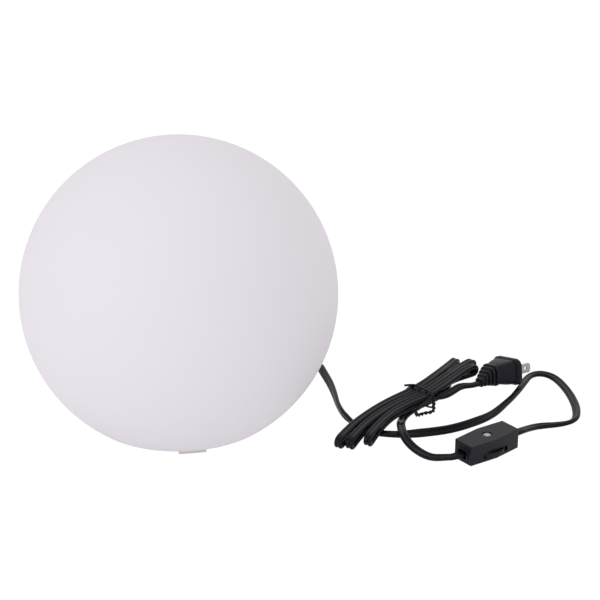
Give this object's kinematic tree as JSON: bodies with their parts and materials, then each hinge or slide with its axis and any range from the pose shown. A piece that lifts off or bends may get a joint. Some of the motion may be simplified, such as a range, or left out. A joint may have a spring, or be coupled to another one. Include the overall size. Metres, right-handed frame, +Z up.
{
  "type": "globe_garden_light",
  "caption": "White plastic globe light for the garden on a low footed base, with a bulb inside and a black twin cord carrying a thumbwheel switch, a folded tied hank and a two-blade plug",
  "frame": {"origin": "on the floor under the axis of the ball", "axes": "+Z up along the ball's axis, the picture is taken from -Y, +X to its right"},
  "size_m": [0.4549, 0.254, 0.2348],
  "materials": {
    "globe_plastic": "satin white translucent moulding",
    "base_plastic": "white moulding, slightly greyer than the ball",
    "foot_plastic": "warm white, matte",
    "holder_plastic": "moulded white",
    "brass": "pressed strip",
    "zinc_steel": "zinc plated",
    "cap_aluminium": "pressed thread",
    "insulator_black": "glassy black",
    "bulb_white": "white moulding",
    "board_aluminium": "white-faced board",
    "bulb_opal": "opal diffuser",
    "cord_vinyl": "black vinyl, semi-gloss, two ridges and a groove",
    "tie_black": "plastic-coated wire",
    "switch_black": "black moulding",
    "wheel_black": "black moulding with a knurled rim",
    "plug_vinyl": "moulded black vinyl",
    "blade_nickel": "nickel plated"
  },
  "bodies": {
    "base": {"base_cover": "base_plastic", "foot_1": "foot_plastic", "foot_2": "foot_plastic", "foot_3": "foot_plastic", "foot_4": "foot_plastic", "cord_bushing": "base_plastic", "lampholder_body": "holder_plastic", "lampholder_shell": "brass", "lampholder_contact": "brass", "lampholder_screws": "zinc_steel", "terminal_screws": "brass", "inner_leads": "cord_vinyl", "cord_lead": "cord_vinyl", "cord_tail": "cord_vinyl", "cord_hank": "cord_vinyl", "twist_tie": "tie_black", "switch_top": "switch_black", "switch_bottom": "switch_black", "switch_screw": "zinc_steel", "switch_nut": "zinc_steel", "switch_contacts": "brass", "plug_body": "plug_vinyl", "plug_blade_wide": "blade_nickel", "plug_blade_narrow": "blade_nickel"},
    "globe": {"globe_shell": "globe_plastic"},
    "bulb": {"bulb_cap": "cap_aluminium", "bulb_insulator": "insulator_black", "bulb_tip": "zinc_steel", "bulb_housing": "bulb_white", "bulb_board": "board_aluminium", "bulb_dome": "bulb_opal"},
    "wheel": {"switch_wheel": "wheel_black"}
  },
  "joints": [
    {"name": "globe_lift", "type": "slide", "parent": "base", "child": "globe", "axis": [0, 0, 1], "range_m": [0, 0.145]},
    {"name": "bulb_unscrew", "type": "slide", "parent": "base", "child": "bulb", "axis": [0, 0, 1], "range_m": [0, 0.026]},
    {"name": "switch_turn", "type": "hinge", "parent": "base", "child": "wheel", "pos_m": [0.2433, -0.0663, 0.0047], "axis": [0, 0, 1], "continuous": true}
  ]
}
